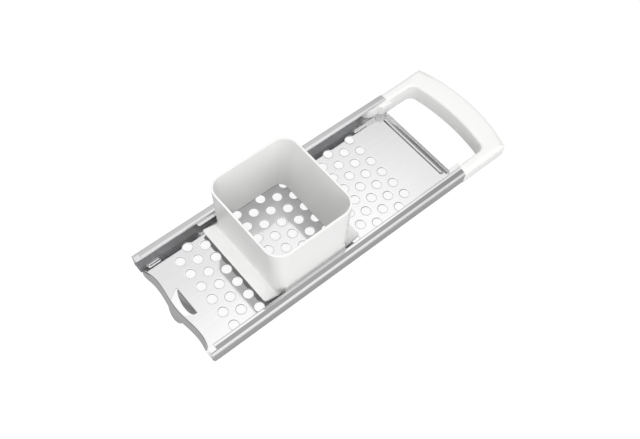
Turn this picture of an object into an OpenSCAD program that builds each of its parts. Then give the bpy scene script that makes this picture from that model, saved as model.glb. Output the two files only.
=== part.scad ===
// Spaetzle maker: a perforated sheet-steel bed with folded rails, a square hopper
// that slides along the rails, and a moulded bow handle plugged into the rail ends.
// X runs from the pot-rim end (negative) to the handle (positive), Y to the left, Z up.
// Millimetres. The origin is the bottom centre of the whole object.

/* [Sheet bed] */
// Length of the folded rails
bed_len = 260; // [240:1:300]
// Width over the two rail walls
bed_w = 108; // [100:1:120]
// Sheet thickness
sheet_t = 0.6; // [0.5:0.1:0.8]

/* [Perforation] */
// Diameter of the batter holes
hole_d = 8; // [6:0.1:9]
// Distance between holes along a row
hole_pitch = 14; // [13:0.1:14.5]
// Distance between rows
row_pitch = 12.2; // [11:0.1:12.4]
// Number of rows
hole_rows = 16; // [12:1:16]
// Number of holes in a row
holes_per_row = 6; // [4:1:6]
// First row, measured from the near end of the rails
first_row = 29.5; // [28:0.5:34]

/* [Rails] */
// Height of the rail's flat top over the floor
rail_h = 11.6; // [11:0.1:14]
// Outer radius of the rail's upper corner
rail_round = 3.2; // [2:0.1:4]
// Outer radius of the fold between floor and wall
fold_round = 1.6; // [1.2:0.1:2.5]
// Width of the rail's top, from the wall's outside to its inner edge
rail_top_w = 8; // [7.5:0.1:9]
// Width of the folded-back hem on the rail's inner edge
hem_w = 4.4; // [2.5:0.1:4.6]
// How far the hem is cut back from the near end
hem_setback = 5.2; // [3:0.1:8]
// Radius of the wall's lower corner at the handle end
rail_corner = 3; // [1:0.5:4]

/* [Pot-rim apron] */
// Width of the turned-down apron at the near end
apron_w = 85; // [70:1:86]
// Depth of the apron beside its tongue
apron_depth = 8.5; // [7.5:0.5:10]
// Radius of the apron's lower corners
apron_corner = 7.5; // [3:0.5:7.5]
// Depth of the tongue in the middle
tongue_depth = 15.2; // [12:0.1:18]
// Radius of the tongue's tip
tongue_round = 9.3; // [8:0.1:11]
// Outward lean of the apron, degrees from upright
apron_lean = 10.5; // [0:0.5:15]
// Setback of the near edge behind the rail ends, on average
edge_setback = 3.5; // [3.5:0.1:6]
// Half the height of the wave in the near edge
edge_wave = 1.2; // [0:0.1:2]
// How far the near edge runs out towards the rail ends at its two sides
edge_runout = 3.4; // [0:0.1:3.4]
// Length of one wave of the near edge
edge_wave_len = 54; // [50:1:60]

/* [Pot-rim hook] */
// Width of the window at its far edge
window_w = 30; // [26:0.2:32]
// Width of the window at its near edge
window_near_w = 17.4; // [12:0.2:20]
// Distance from the rail ends to the window's near edge
window_start = 3.4; // [3.3:0.1:5]
// Distance from the rail ends to the hook's fold
window_end = 14.4; // [13:0.1:16]
// Width of the hook where it leaves the sheet
hook_w = 26; // [20:0.2:26]
// Length of the hook below its fold
hook_len = 9.4; // [7:0.1:12]
// Lean of the hook towards the apron, degrees from upright
hook_lean = 14; // [0:1:20]
// Outer radius of the hook's fold
hook_fold = 1.4; // [1:0.1:2]

/* [Pressed beads] */
// Width of the bead across the handle end
cross_bead_w = 4.6; // [3.5:0.1:6]
// Height of the bead across the handle end
cross_bead_h = 1.9; // [1:0.1:2.2]
// Overall length of the bead across the handle end
cross_bead_len = 75; // [60:1:78]
// Distance from the rails' handle end to the middle of the cross bead
cross_bead_back = 8.9; // [8.5:0.1:12]
// Width of a guide bead beside a handle tongue
guide_bead_w = 3.4; // [3:0.1:4]
// Height of a guide bead
guide_bead_h = 1.6; // [1:0.1:1.6]
// Overall length of a guide bead
guide_bead_len = 26; // [20:1:27]
// Distance from the rails' handle end to the start of a guide bead
guide_bead_back = 39.5; // [38:0.5:44]
// Width of a stop bead at the near end
stop_bead_w = 4.2; // [3.5:0.1:4.6]
// Height of a stop bead
stop_bead_h = 2.3; // [1.5:0.1:2.3]
// Overall length of a stop bead
stop_bead_len = 13; // [9:0.5:16]
// Distance from the rails' near end to a stop bead
stop_bead_start = 6.5; // [6:0.5:9]
// Gap between a stop bead and the rail's inner edge, seen from above
stop_bead_inset = 0.2; // [0:0.1:0.8]

/* [Rear lip] */
// Distance from the rails' handle end to the bend where the lip starts
lip_back = 6.4; // [6:0.1:6.5]
// Slope of the lip after that bend, degrees below the floor
lip_slope = 20; // [5:1:30]
// Reach of the lip beyond the rails' handle end
lip_reach = 0.4; // [0:0.1:1]
// Outer radius of the fold that turns the lip down
lip_round = 2; // [1:0.1:2.5]
// Depth of the turned-down lip below the floor
lip_depth = 5.4; // [5.2:0.1:8]
// Width of the lip
lip_w = 79; // [70:1:82]
// How far the floor beside the lip stays inside the rails' handle end
floor_setback = 1.9; // [1:0.1:4]

/* [Hopper] */
// Height of the hopper's rim over the floor
hopper_h = 62; // [50:1:75]
// Outside length of the rim
rim_len = 80.4; // [76:0.2:86]
// How far the rim stands out beyond the foot at each side
rim_flare = 0.6; // [0:0.1:0.8]
// Outside length at the foot
foot_len = 70.4; // [64:0.2:74]
// Gap between the foot's side and the rail's inner edge, seen from above
foot_side_gap = 3; // [2.5:0.1:4]
// Corner radius of the rim
rim_round = 14; // [10:0.5:18]
// Corner radius of the foot
foot_round = 9; // [7:0.5:12]
// Wall thickness
hopper_wall = 1.8; // [1.4:0.1:2.4]
// Length over the two sloping ramps
ramp_len = 96.2; // [90:0.2:104]
// Gap between a ramp's side and the rail's inner edge, seen from above
ramp_side_gap = 5.2; // [4:0.1:10]
// Height of the ramps' outer edges over the floor
ramp_rise = 6.9; // [4:0.1:7.4]
// Thickness of the ramps
ramp_t = 2; // [1.5:0.1:2.5]
// Corner radius of the ramps
ramp_round = 2.5; // [1:0.5:4]
// Height of the runners' underside over the floor
runner_low = 4.9; // [4:0.1:5]
// Thickness of the runners
runner_t = 3.9; // [3:0.1:5]
// How far a runner shows inside the rail's inner edge
runner_inset = 0.6; // [0:0.1:1.4]
// Length of the webs that carry the runners
web_len = 60; // [40:1:62]
// Middle of the hopper, measured from the rails' near end, as photographed
hopper_at = 106; // [60:1:180]

/* [Handle] */
// Reach of the bow beyond the rails' handle end
bow_reach = 56.9; // [48:0.1:66]
// Radius of the bow's outer edge in plan
bow_outer_r = 172; // [150:1:220]
// Radius of the bow's inner edge in plan
bow_inner_r = 190; // [170:1:240]
// Depth of the bow at its middle
bow_depth = 21.2; // [17:0.2:25]
// Width of an arm
arm_w = 10; // [9:0.1:12]
// Top of the handle over the floor
handle_top = 11.8; // [11:0.1:13]
// Underside of the handle below the floor
handle_drop = 7; // [5:0.1:9]
// Edge radius of the handle's upper edges
handle_round = 3.2; // [2:0.1:4]
// Edge radius of the handle's lower outer edges
handle_low_round = 7; // [4:0.5:8]
// Corner radius of the finger opening in plan
finger_round = 7; // [5:0.5:10]
// Corner radius of the bow's outline in plan
bow_corner = 1.5; // [1:0.5:8]
// Length of the tongues inside the rails
plug_len = 23; // [18:0.5:30]
// Radius of the tongue's nose in plan
plug_nose = 7; // [3:0.5:7.5]
// Length of the tongue's wide root
plug_root_len = 10.5; // [6:0.5:12]
// How far the wide root stands in from the tongue's inner face
plug_root_w = 3.6; // [2:0.1:4]

/* [Fits] */
// Gap between hopper foot and floor
foot_gap = 0.4; // [0.2:0.05:0.6]
// Side play between a runner and the rail wall
runner_play = 0.7; // [0.4:0.1:1]
// Fit of a handle tongue in its rail
plug_fit = 0.1; // [0.05:0.05:0.2]
// Step from an arm's inner face to its tongue's
plug_step = 0.8; // [0.4:0.1:1.5]

/* [Hidden] */

$fn = 48;
eps = 0.01;                       // overlap of shapes that are joined or cut
past = 1;                         // how far a cutting shape reaches past what it cuts
far = 400;                        // reaches past the object in any direction
fine = 240;                       // facets of the handle's two wide arcs

steel_colour = [0.80, 0.81, 0.82];
plastic_colour = [0.95, 0.95, 0.94];

half_w = bed_w / 2;
fold_y = half_w - fold_round;     // where floor and rail meet
rail_in = half_w - rail_top_w;    // inner edge of the rail's top
hem_top = rail_h + sheet_t;
wall_in = half_w - sheet_t;
floor_end = bed_len - floor_setback;
lip_start = bed_len - lip_back;

// The hopper's widths follow the opening between the two rails.
foot_w = 2 * (rail_in - foot_side_gap);
rim_w = foot_w + 2 * rim_flare;
ramp_w = 2 * (rail_in - ramp_side_gap);
runner_in = rail_in - runner_inset;

// The leaning tongue's tip is the lowest and the foremost point of the sheet.
apron_drop = tongue_depth * cos(apron_lean) - (edge_wave - sheet_t) * sin(apron_lean);
apron_front = edge_setback - edge_wave * cos(apron_lean) - tongue_depth * sin(apron_lean);
bow_end = bed_len + bow_reach;

// The whole object is moved so that its bottom centre is the origin.
shift_x = -(min(apron_front, 0) + bow_end) / 2;
shift_z = max(apron_drop, handle_drop, lip_depth);

module placed() translate([shift_x, 0, shift_z]) children();
module steel() color(steel_colour) children();
module plastic() color(plastic_colour) children();
module both_sides() { children(); mirror([0, 1, 0]) children(); }

// ---------------------------------------------------------------- sheet outline

// Near edge of the floor: one wave in the middle, then a run-out that steepens to each side.
runout_power = 2.5;
function side_share(y) =
    max(0, (abs(y) - edge_wave_len / 2) / (apron_w / 2 - edge_wave_len / 2));
function near_edge(y) = edge_setback
    - edge_wave * cos(360 * min(abs(y), edge_wave_len / 2) / edge_wave_len)
    - edge_runout * pow(side_share(y), runout_power);
edge_steps = 48;
function edge_y(i) = apron_w * (i / edge_steps - 0.5);
edge_line = [for (i = [0:edge_steps]) [near_edge(edge_y(i)), edge_y(i)]];
edge_line_in = [for (i = [edge_steps:-1:0]) [near_edge(edge_y(i)) + sheet_t, edge_y(i)]];

module floor_outline()
    polygon(concat([[0, -fold_y]],
                   [[0, -apron_w / 2 - eps]], edge_line, [[0, apron_w / 2 + eps]],
                   [[0, fold_y], [lip_start, fold_y], [lip_start, -fold_y]]));

// Straight end strips of the floor beside the lip.
module floor_end_strip()
    translate([lip_start - eps, lip_w / 2, -sheet_t])
        cube([floor_end - lip_start + eps, fold_y - lip_w / 2, sheet_t]);

module hole_pattern()
    for (row = [0:hole_rows - 1], k = [0:holes_per_row - 1]) {
        stagger = hole_pitch / 4 * (row % 2 == 0 ? -1 : 1);
        translate([first_row + row * row_pitch,
                   (k - (holes_per_row - 1) / 2) * hole_pitch + stagger])
            circle(d = hole_d);
    }

// Window that the hook was cut from: narrow at the apron, full width at the fold.
module hook_window() {
    side = (window_w - window_near_w) / 2;
    polygon([[window_start, -window_near_w / 2], [window_start, window_near_w / 2],
             [window_end - side / 2, window_w / 2], [window_end, window_w / 2],
             [window_end, -window_w / 2], [window_end - side / 2, -window_w / 2]]);
}

// ---------------------------------------------------------------- pressed beads

function bead_r(w, h) = (w * w / 4 + h * h) / (2 * h);

// A round-ended bar along X whose part above the floor is w wide and h high.
module bead_bar(len, w, h, skin) {
    r = bead_r(w, h);
    reach = len / 2 - w / 2;
    translate([0, 0, h - r]) {
        rotate([0, 90, 0]) cylinder(r = r - skin, h = 2 * reach, center = true);
        for (end = [-reach, reach]) translate([end, 0, 0]) sphere(r = r - skin);
    }
}

module bead_places(cut) {
    skin = cut ? sheet_t : 0;
    translate([bed_len - cross_bead_back, 0, 0]) rotate([0, 0, 90])
        bead_bar(cross_bead_len, cross_bead_w, cross_bead_h, skin);
    both_sides() {
        translate([bed_len - guide_bead_back + guide_bead_len / 2, guide_y, 0])
            bead_bar(guide_bead_len, guide_bead_w, guide_bead_h, skin);
        translate([stop_bead_start + stop_bead_len / 2, stop_y, 0])
            bead_bar(stop_bead_len, stop_bead_w, stop_bead_h, skin);
    }
}

// ---------------------------------------------------------------- sheet pieces

module grater_plate() steel() placed() difference() {
    union() {
        translate([0, 0, -sheet_t]) linear_extrude(sheet_t) difference() {
            floor_outline();
            hole_pattern();
            hook_window();
        }
        both_sides() floor_end_strip();
        intersection() {
            bead_places(false);
            translate([0, -half_w, -sheet_t]) cube([bed_len, bed_w, hopper_h]);
        }
    }
    bead_places(true);
}

// Folded rail on the left: fold, wall, rounded corner, top and folded-back hem.
module rail() {
    wall_h = rail_h - rail_round;
    module arc_bar(r, len) rotate([0, 90, 0]) difference() {
        cylinder(r = r, h = len);
        translate([0, 0, -eps]) cylinder(r = r - sheet_t, h = len + 2 * eps);
    }
    difference() {
        union() {
            intersection() {
                translate([0, fold_y, fold_round - sheet_t]) arc_bar(fold_round, bed_len);
                translate([0, fold_y, -sheet_t]) cube([bed_len, fold_round, fold_round]);
            }
            translate([0, wall_in, fold_round - sheet_t])
                cube([bed_len, sheet_t, wall_h - fold_round + sheet_t]);
            intersection() {
                translate([0, half_w - rail_round, wall_h]) arc_bar(rail_round, bed_len);
                translate([0, half_w - rail_round, wall_h])
                    cube([bed_len, rail_round, rail_round]);
            }
            translate([0, rail_in, rail_h - sheet_t])
                cube([bed_len, rail_top_w - rail_round, sheet_t]);
            translate([hem_setback, rail_in, rail_h - eps])
                cube([bed_len - hem_setback, hem_w, sheet_t + eps]);
            translate([hem_setback, rail_in, rail_h]) rotate([0, 90, 0])
                cylinder(r = sheet_t, h = bed_len - hem_setback);
        }
        translate([bed_len, half_w + eps, -sheet_t]) rotate([90, 0, 0])
            linear_extrude(fold_round + 2 * eps) difference() {
                translate([-rail_corner, -eps]) square(rail_corner + eps);
                translate([-rail_corner, rail_corner]) circle(r = rail_corner);
            }
    }
}

module left_rail() steel() placed() rail();
module right_rail() steel() placed() mirror([0, 1, 0]) rail();

// Front view of the apron, with X across and Y down from the fold.
module apron_front_view() {
    intersection() {
        square([apron_w, far], center = true);
        union() {
            square([apron_w - 2 * apron_corner, 2 * apron_depth], center = true);
            square([apron_w, 2 * (apron_depth - apron_corner)], center = true);
            for (side = [-1, 1])
                translate([side * (apron_w / 2 - apron_corner), apron_depth - apron_corner])
                    circle(r = apron_corner);
        }
    }
    translate([0, tongue_depth - tongue_round]) circle(r = tongue_round);
    tongue_fillets();
}

// Concave blends between the tongue and the apron's lower edge.
module tongue_fillets() {
    blend = tongue_depth - apron_depth;
    centre_down = tongue_depth - tongue_round;
    drop = apron_depth + blend - centre_down;
    half = sqrt((tongue_round + blend) * (tongue_round + blend) - drop * drop);
    difference() {
        translate([-half, apron_depth - eps])
            square([2 * half, (drop - blend) + blend * drop / (tongue_round + blend)]);
        for (side = [-1, 1])
            translate([side * half, centre_down + drop]) circle(r = blend);
        translate([0, centre_down + drop + half]) square([4 * half, 2 * half - eps], center = true);
    }
}

module front_apron() steel() placed() difference() {
    translate([edge_setback, 0, 0]) rotate([0, apron_lean, 0]) translate([-edge_setback, 0, 0])
        intersection() {
            translate([0, 0, -far / 2]) linear_extrude(far)
                polygon(concat(edge_line, edge_line_in));
            rotate([-90, 0, 90]) translate([0, 0, -far / 2]) linear_extrude(far)
                apron_front_view();
        }
    translate([-far / 2, -far / 2, -sheet_t]) cube(far);
}

// Hook: a short fold down from the window's far edge and a rounded blade.
module rim_hook() steel() placed() translate([window_end, 0, -hook_fold]) {
    turn = 90 - hook_lean;
    intersection() {
        rotate([90, 0, 0]) difference() {
            cylinder(r = hook_fold, h = hook_w, center = true);
            cylinder(r = hook_fold - sheet_t, h = hook_w + past, center = true);
        }
        rotate([0, -turn, 0]) translate([0, -far / 2, 0]) cube([far, far, far]);
        translate([-far, -far / 2, 0]) cube([far, far, far]);
    }
    rotate([0, -turn, 0]) translate([0, 0, hook_fold - sheet_t])
        linear_extrude(sheet_t) intersection() {
            translate([-hook_len, -hook_w / 2]) square([hook_len, hook_w]);
            translate([hook_w / 2 - hook_len, 0]) circle(r = hook_w / 2);
        }
}

// Section of the lip: a straight slope, a fold and a short upright end.
lip_end = bed_len + lip_reach;
lip_run = (lip_end - lip_start - lip_round * (1 - sin(lip_slope))) / cos(lip_slope);
fold_x = lip_end - lip_round;
fold_z = -lip_run * sin(lip_slope) - lip_round * cos(lip_slope);

// Points round the fold at radius r, from the slope's end (0) to the upright's start (1).
lip_steps = 12;
function fold_point(r, turn) = [fold_x, fold_z] + r * [sin(turn), cos(turn)];
function fold_turn(share) = lip_slope + (90 - lip_slope) * share;

module lip_section()
    polygon(concat([[lip_start, 0]],
                   [for (i = [0:lip_steps]) fold_point(lip_round, fold_turn(i / lip_steps))],
                   [[lip_end, -lip_depth], [lip_end - sheet_t, -lip_depth]],
                   [for (i = [lip_steps:-1:0]) fold_point(lip_round - sheet_t, fold_turn(i / lip_steps))],
                   [[lip_start, -sheet_t]]));

module rear_lip() steel() placed() rotate([90, 0, 0])
    linear_extrude(lip_w, center = true) lip_section();

// ---------------------------------------------------------------- handle

arm_in = half_w - arm_w;
plug_start = bed_len - plug_len;
plug_in = arm_in + plug_step;
plug_out = wall_in - plug_fit;
plug_top = rail_h - sheet_t - plug_fit;
// Guide beads lie beside the tongues' inner faces, stop beads just inside the rails' edges.
guide_y = plug_in - plug_fit - guide_bead_w / 2;
stop_y = rail_in - stop_bead_inset - stop_bead_w / 2;
handle_h = handle_top + handle_drop;
bow_start = bed_len + plug_fit;
outer_c = bow_end - bow_outer_r;
inner_c = bow_end - bow_depth - bow_inner_r;

// Half section of a bar with rounded outer edges, reach wide and as high as the handle.
module rounded_half(reach) translate([0, -handle_drop]) {
    side_h = handle_h - handle_low_round - handle_round;
    square([reach - handle_low_round, handle_h]);
    translate([0, handle_low_round]) square([reach, side_h]);
    translate([0, handle_low_round]) square([reach - handle_round, side_h + handle_round]);
    translate([reach - handle_low_round, handle_low_round]) circle(r = handle_low_round);
    translate([reach - handle_round, handle_h - handle_round]) circle(r = handle_round);
}

// Stretches a half section along X and mirrors it to the other side.
module along_x(start, len) both_sides()
    translate([start, 0, 0]) rotate([90, 0, 90]) linear_extrude(len) children();

// Where a corner of radius r blends an arc of radius arc_r into a straight side.
function blend_x(centre, arc_r, side, r) =
    centre + sqrt((arc_r - r) * (arc_r - r) - (side - r) * (side - r));
function blend_turn(arc_r, side, r) = asin((side - r) / (arc_r - r));

// The bow's outer shape: a disc and a bar with rounded edges, their common corners rounded.
module bow_block() {
    corner_x = blend_x(outer_c, bow_outer_r, half_w, bow_corner);
    turn = blend_turn(bow_outer_r, half_w, bow_corner);
    difference() {
        intersection() {
            translate([outer_c, 0, 0]) rotate_extrude($fn = fine) rounded_half(bow_outer_r);
            along_x(bow_start, bow_reach) rounded_half(half_w);
        }
        both_sides() translate([corner_x, half_w - bow_corner, -handle_drop - past])
            linear_extrude(handle_h + 2 * past) difference() {
                polygon([[0, 0], [0, 2 * bow_corner], [2 * bow_corner, 2 * bow_corner],
                         2 * bow_corner * [cos(turn), sin(turn)]]);
                circle(r = bow_corner);
            }
    }
}

// Plan of the finger opening: an arc, two straight sides and two rounded corners.
module finger_opening() {
    corner_x = blend_x(inner_c, bow_inner_r, arm_in, finger_round);
    turn = blend_turn(bow_inner_r, arm_in, finger_round);
    tip_x = inner_c + bow_inner_r * cos(turn);
    tip_y = bow_inner_r * sin(turn);
    open_x = bow_start - past;
    translate([0, 0, -handle_drop - past]) linear_extrude(handle_h + 2 * past) {
        intersection() {
            translate([inner_c, 0]) circle(r = bow_inner_r, $fn = fine);
            polygon([[open_x, arm_in], [corner_x, arm_in], [tip_x, tip_y],
                     [tip_x + bow_depth, tip_y], [tip_x + bow_depth, -tip_y], [tip_x, -tip_y],
                     [corner_x, -arm_in], [open_x, -arm_in]]);
        }
        both_sides() translate([corner_x, arm_in - finger_round]) circle(r = finger_round);
    }
}

// The tongue's plan: a round nose and a wide root.
module tongue_plan() {
    root = bed_len - plug_root_len;
    root_in = plug_in - plug_root_w;
    reach = bow_start + handle_round + past;
    difference() {
        polygon([[plug_start, plug_in], [root, plug_in], [root + plug_root_w, root_in],
                 [reach, root_in], [reach, plug_out], [plug_start, plug_out]]);
        difference() {
            translate([plug_start - past, plug_in - past]) square(plug_nose + past);
            translate([plug_start + plug_nose, plug_in + plug_nose]) circle(r = plug_nose);
        }
    }
}

// The tongue's front view: its outer corners follow the rail's two bends.
module tongue_section() {
    top_r = rail_round - sheet_t;
    low_r = fold_round - sheet_t;
    inner = plug_in - plug_root_w - past;
    height = plug_top - plug_fit;
    translate([inner, plug_fit]) square([plug_out - top_r - inner, height]);
    translate([inner, plug_fit + low_r]) square([plug_out - inner, height - low_r - top_r]);
    translate([plug_out - top_r, plug_top - top_r]) circle(r = top_r);
    translate([plug_out - low_r, plug_fit + low_r]) circle(r = low_r);
    translate([plug_out - top_r - eps, plug_fit]) square([top_r - low_r + eps, low_r + eps]);
}

module tongue() intersection() {
    linear_extrude(handle_top) tongue_plan();
    translate([plug_start - past, 0, 0]) rotate([90, 0, 90]) linear_extrude(bow_reach)
        tongue_section();
}

module handle() plastic() placed() {
    difference() {
        bow_block();
        finger_opening();
    }
    both_sides() tongue();
}

// ---------------------------------------------------------------- hopper

slab_fn = 32;                     // facets of a round in the hopper's tapered form

module rounded_slab(len, wid, r, z) translate([0, 0, z]) linear_extrude(eps)
    hull() for (sx = [-1, 1], sy = [-1, 1])
        translate([sx * (len / 2 - r), sy * (wid / 2 - r)]) circle(r = r, $fn = slab_fn);

// Tapered tube between foot and rim, made smaller all round by a given inset.
module hopper_form(inset, low, high) hull() {
    rounded_slab(foot_len - 2 * inset, foot_w - 2 * inset, foot_round - inset, low);
    rounded_slab(rim_len - 2 * inset, rim_w - 2 * inset, rim_round - inset, high - eps);
}

module ramp() {
    inner = foot_len / 2 - foot_round;
    foot = foot_len / 2 - hopper_wall / 2;
    outer = ramp_len / 2;
    intersection() {
        translate([0, ramp_w / 2, 0]) rotate([90, 0, 0]) linear_extrude(ramp_w)
            polygon([[inner, foot_gap], [inner, foot_gap + ramp_t], [foot, foot_gap + ramp_t],
                     [outer, ramp_rise], [outer, ramp_rise - ramp_t], [foot, foot_gap]]);
        linear_extrude(hopper_h) {
            square([ramp_len - 2 * ramp_round, ramp_w], center = true);
            square([ramp_len, ramp_w - 2 * ramp_round], center = true);
            for (sx = [-1, 1], sy = [-1, 1])
                translate([sx * (outer - ramp_round), sy * (ramp_w / 2 - ramp_round)])
                    circle(r = ramp_round);
        }
    }
}

module hopper() plastic() placed() translate([hopper_at, 0, 0]) {
    difference() {
        union() {
            hopper_form(0, foot_gap, hopper_h);
            ramp();
            mirror([1, 0, 0]) ramp();
        }
        hopper_form(hopper_wall, foot_gap - eps, hopper_h + eps);
    }
    both_sides() {
        translate([-ramp_len / 2, runner_in, runner_low])
            cube([ramp_len, wall_in - runner_play - runner_in, runner_t]);
        translate([-web_len / 2, foot_w / 2 - hopper_wall / 2, runner_low])
            cube([web_len, runner_in - (foot_w - hopper_wall) / 2 + eps, runner_t]);
    }
}

grater_plate();
left_rail();
right_rail();
front_apron();
rim_hook();
rear_lip();
handle();
hopper();
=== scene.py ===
"""Spaetzle maker: a perforated steel bed, a white sliding hopper and a white bow handle.

Sizes are millimetres from the near end of the rails (X), the middle of the bed (Y) and the
top face of the perforated floor (Z). shift_to_frame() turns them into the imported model's
metres, so every piece lies where its CAD node lies.
"""
import math

import bmesh
import bpy
import numpy as np
from mathutils import Matrix, Vector
from mathutils.geometry import delaunay_2d_cdt


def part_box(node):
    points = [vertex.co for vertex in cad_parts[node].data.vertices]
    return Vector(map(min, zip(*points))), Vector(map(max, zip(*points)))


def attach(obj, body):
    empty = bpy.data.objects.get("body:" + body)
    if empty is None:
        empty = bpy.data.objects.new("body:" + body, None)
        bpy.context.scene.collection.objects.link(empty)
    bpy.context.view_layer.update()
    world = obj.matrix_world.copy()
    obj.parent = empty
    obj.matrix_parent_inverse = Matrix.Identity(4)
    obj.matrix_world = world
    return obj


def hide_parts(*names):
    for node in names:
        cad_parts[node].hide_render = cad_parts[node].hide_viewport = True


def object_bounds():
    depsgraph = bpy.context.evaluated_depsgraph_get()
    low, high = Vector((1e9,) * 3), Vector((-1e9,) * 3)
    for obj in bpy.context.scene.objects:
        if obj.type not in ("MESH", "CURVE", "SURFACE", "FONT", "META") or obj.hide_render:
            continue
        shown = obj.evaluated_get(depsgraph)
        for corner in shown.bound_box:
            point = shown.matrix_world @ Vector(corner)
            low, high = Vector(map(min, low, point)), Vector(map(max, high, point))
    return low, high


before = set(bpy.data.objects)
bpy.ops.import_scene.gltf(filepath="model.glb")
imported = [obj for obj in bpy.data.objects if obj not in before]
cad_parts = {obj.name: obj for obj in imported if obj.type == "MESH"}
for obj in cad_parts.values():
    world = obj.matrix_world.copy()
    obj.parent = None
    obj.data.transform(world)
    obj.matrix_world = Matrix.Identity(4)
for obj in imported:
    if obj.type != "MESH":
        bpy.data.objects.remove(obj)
cad_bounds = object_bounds()

MM = 0.001
SHEET = 0.6                                              # thickness of the steel, mm
near_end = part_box("left_rail")[0][0]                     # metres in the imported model
floor_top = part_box("grater_plate")[0][2] + SHEET * MM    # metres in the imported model

# ------------------------------------------------------------------ sizes, in millimetres
# Bed: length, half width, and the fold that turns the floor up into a rail.
BED_LEN, HALF_W = 260.0, 54.0
FOLD_R = 1.6
FOLD_Y = HALF_W - FOLD_R

# Rails: height, corner radius, inner edge; the hem's start, rise and crown radius.
RAIL_H, RAIL_R, RAIL_IN = 11.6, 3.2, 46.0
HEM_START, HEM_RISE, CROWN_R = 5.2, 0.6, 0.65
CORNER_TURN = 77.5                                       # degrees of corner before the hem
NEAR_LEAN, FAR_ROUND = 0.9, 5.0                          # the rail's cut ends

# Punched holes in staggered rows; the floor's flat mesh begins HOLE_FLAT outside a hole's wall.
HOLE_R, HOLE_PITCH, ROW_PITCH, FIRST_ROW = 4.0, 14.0, 12.2, 29.5
ROWS, HOLES_A_ROW, ROW_SHIFT = 16, 6, 3.5
HOLE_FLAT = 1.2
# The soft roll-over at a hole's top edge, from the flat inwards: distance from the wall, height.
HOLE_ROLL = ((0.8, 0.0), (0.55, -0.01), (0.3, -0.04), (0.1, -0.08), (0.0, -0.11))

# The near edge in plan: a wave about a mean, and how far it runs out beside the rails.
EDGE_MEAN, EDGE_WAVE, EDGE_WAVE_LEN = 3.5, 1.2, 54.0
RUN_OUT, RUN_OUT_POWER = 3.4, 2.5

# Apron, its tongue, and the bend that both hang from.
APRON_HALF, APRON_DEPTH, APRON_CORNER, APRON_LEAN = 42.5, 8.5, 7.5, 10.5
TONGUE_DEPTH, TONGUE_R, TONGUE_REACH, TONGUE_BLEND = 14.95, 9.3, 16.0, 1.6
BEND_R = 1.6

# The hook and the window that it is bent out of.
WINDOW_NEAR_HALF, WINDOW_FAR_HALF, WINDOW_END = 8.7, 15.0, 14.4
HOOK_REACH, HOOK_HALF, HOOK_TURN, HOOK_R = 9.4, 13.0, 76.0, 1.4

# The far edge: it slopes down, folds and ends upright; the floor beside it is a little shorter.
LIP_START, LIP_END, LIP_SLOPE, LIP_R, LIP_DEPTH = 253.6, 260.4, 20.0, 2.0, 5.4
LIP_HALF, FLOOR_END = 39.5, 258.1

# Pressed beads: middle (x, y), length, width, height, and whether one lies across the bed.
BEADS = [((251.3, 0), 75.0, 4.5, 1.2, True)]
BEADS += [((233.5, 43.0 * side), 26.0, 3.4, 1.7, False) for side in (1, -1)]      # beside the rails
BEADS += [((13.0, 43.7 * side), 13.0, 4.2, 2.2, False) for side in (1, -1)]       # stop the hopper
# Flat floor kept round a bead, and on the far side of the one across; how far its crown leans.
BEAD_MARGIN, TIGHT_MARGIN, CROWN_SHIFT = 0.35, 0.03, 0.4

# Handle: the bow's outer and inner arcs, its corners, heights and edge radii.
BOW_TIP, BOW_R, BOW_IN_R, BOW_DEPTH = 316.9, 172.0, 190.0, 21.2
BOW_CORNER, BOW_IN_CORNER, ARM_IN, ARM_GAP = 1.5, 7.0, 44.0, 0.7
HANDLE_TOP, HANDLE_LOW = 11.8, -7.0
LOW_ROUND, INNER_ROUND = 7.0, 2.2
# The top's outer edge radius, what the arms add to it, and over what length.
TOP_ROUND, ARM_EXTRA, ARM_BLEND = 3.2, 1.6, 14.0
# Creases: length, onset at the corner, distance in from the edge, depth and the rise's width.
CREASE_LEN, CREASE_ONSET, CREASE_IN, CREASE_SUNK, CREASE_RISE = 26.0, 3.0, 1.7, 1.5, 3.8
# Where the mesh changes its spacing: x on the arm, degrees on the arc.
OUTER_SPLIT, INNER_SPLIT = (292.0, 12.0), (280.0, 9.0)

# The handle's tongues inside the rails, in plan: tip, step and root, and their height.
PLUG_TIP, PLUG_STEP, PLUG_ROOT, PLUG_END = 237.0, 249.5, 253.1, 263.0
PLUG_IN, PLUG_ROOT_IN, PLUG_OUT = 44.8, 41.2, 53.3
PLUG_LOW, PLUG_TOP = 0.1, 10.9

# Hopper: half length, half width and corner radius at its foot and at its rim.
HOPPER_X, HOPPER_H, WALL = 106.0, 62.0, 1.8
HOPPER_FOOT, HOPPER_RIM = np.array([35.2, 43.0, 9.0]), np.array([40.2, 43.6, 14.0])
FOOT_Z, FOOT_EASE, RIM_EASE = 0.4, 0.35, 0.45

# Ramps: half width, tip, slope and corner radius; a point on the slope (distance from the
# hopper's middle, height), the thickness and the blend's reach.
RAMP_HALF, RAMP_TIP, RAMP_SLOPE, RAMP_CORNER = 40.8, 48.1, 4.5 / 13.8, 2.4
RAMP_START, RAMP_START_Z, RAMP_THICK, RAMP_BLEND = 34.3, 2.4, 1.8, 4.2

# Runners: half length, inner and outer side, heights; the web that carries each.
RUNNER_HALF, RUNNER_IN, RUNNER_OUT, RUNNER_R = 48.1, 45.4, 52.7, 2.0
RUNNER_LOW, RUNNER_TOP, RUNNER_EASE = 4.9, 8.8, 0.5
WEB_HALF, WEB_IN, WEB_OUT, WEB_TOP = 30.0, 41.9, 45.9, 12.3
# The concave fillet between wall and web, from the wall's face down and out: (y, z).
WEB_FILLET = ((43.1, 12.3), (43.15, 11.4), (43.3, 10.5), (43.6, 9.85),
              (44.1, 9.3), (44.8, 8.95), (45.9, 8.8))


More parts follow.
